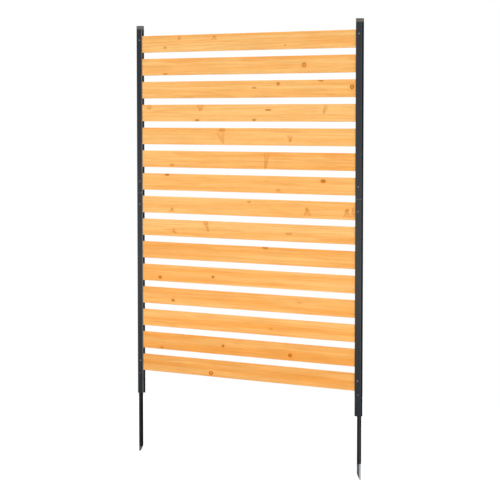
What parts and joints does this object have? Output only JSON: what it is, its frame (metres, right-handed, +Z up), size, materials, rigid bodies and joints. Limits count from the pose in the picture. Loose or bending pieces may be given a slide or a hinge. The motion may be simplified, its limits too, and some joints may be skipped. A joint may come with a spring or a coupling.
{
  "type": "garden privacy screen",
  "caption": "Garden privacy screen: horizontal wooden slats spaced between dark metal channel posts, with end caps and pointed ground stakes.",
  "frame": {"origin": "midway between the posts, on their middle plane, at the ground line, which is the level of the posts' lower ends", "axes": "+X along the panel to the right seen from the front, +Y out of the back, +Z up; the front faces -Y"},
  "size_m": [0.9, 0.0172, 1.507],
  "materials": {
    "post_paint": "charcoal satin coating",
    "stake_paint": "black coating worn off to bare metal at the point",
    "cap_plastic": "matt moulded, warm grey",
    "spacer_plastic": "matt moulded, black",
    "slat_wood": "planed softwood with a light clear stain, knots and fine grain",
    "zinc_steel": "zinc plated",
    "screw_steel": "plain stainless",
    "bolt_black": "black coated"
  },
  "bodies": {
    "root": {"upper_left_post": "post_paint", "lower_left_post": "post_paint", "left_post_joiner": "zinc_steel", "left_cap": "cap_plastic", "left_stake": "stake_paint", "left_slat_screws": "screw_steel", "left_stake_bolt": "bolt_black", "left_stake_nut": "zinc_steel", "left_spacer_01": "spacer_plastic", "left_spacer_02": "spacer_plastic", "left_spacer_03": "spacer_plastic", "left_spacer_04": "spacer_plastic", "left_spacer_05": "spacer_plastic", "left_spacer_06": "spacer_plastic", "left_spacer_07": "spacer_plastic", "left_spacer_08": "spacer_plastic", "left_spacer_09": "spacer_plastic", "left_spacer_10": "spacer_plastic", "left_spacer_11": "spacer_plastic", "left_spacer_12": "spacer_plastic", "left_spacer_13": "spacer_plastic", "left_spacer_14": "spacer_plastic", "upper_right_post": "post_paint", "lower_right_post": "post_paint", "right_post_joiner": "zinc_steel", "right_cap": "cap_plastic", "right_stake": "stake_paint", "right_slat_screws": "screw_steel", "right_stake_bolt": "bolt_black", "right_stake_nut": "zinc_steel", "right_spacer_01": "spacer_plastic", "right_spacer_02": "spacer_plastic", "right_spacer_03": "spacer_plastic", "right_spacer_04": "spacer_plastic", "right_spacer_05": "spacer_plastic", "right_spacer_06": "spacer_plastic", "right_spacer_07": "spacer_plastic", "right_spacer_08": "spacer_plastic", "right_spacer_09": "spacer_plastic", "right_spacer_10": "spacer_plastic", "right_spacer_11": "spacer_plastic", "right_spacer_12": "spacer_plastic", "right_spacer_13": "spacer_plastic", "right_spacer_14": "spacer_plastic", "slat_01": "slat_wood", "slat_02": "slat_wood", "slat_03": "slat_wood", "slat_04": "slat_wood", "slat_05": "slat_wood", "slat_06": "slat_wood", "slat_07": "slat_wood", "slat_08": "slat_wood", "slat_09": "slat_wood", "slat_10": "slat_wood", "slat_11": "slat_wood", "slat_12": "slat_wood", "slat_13": "slat_wood", "slat_14": "slat_wood", "slat_15": "slat_wood"}
  },
  "joints": []
}
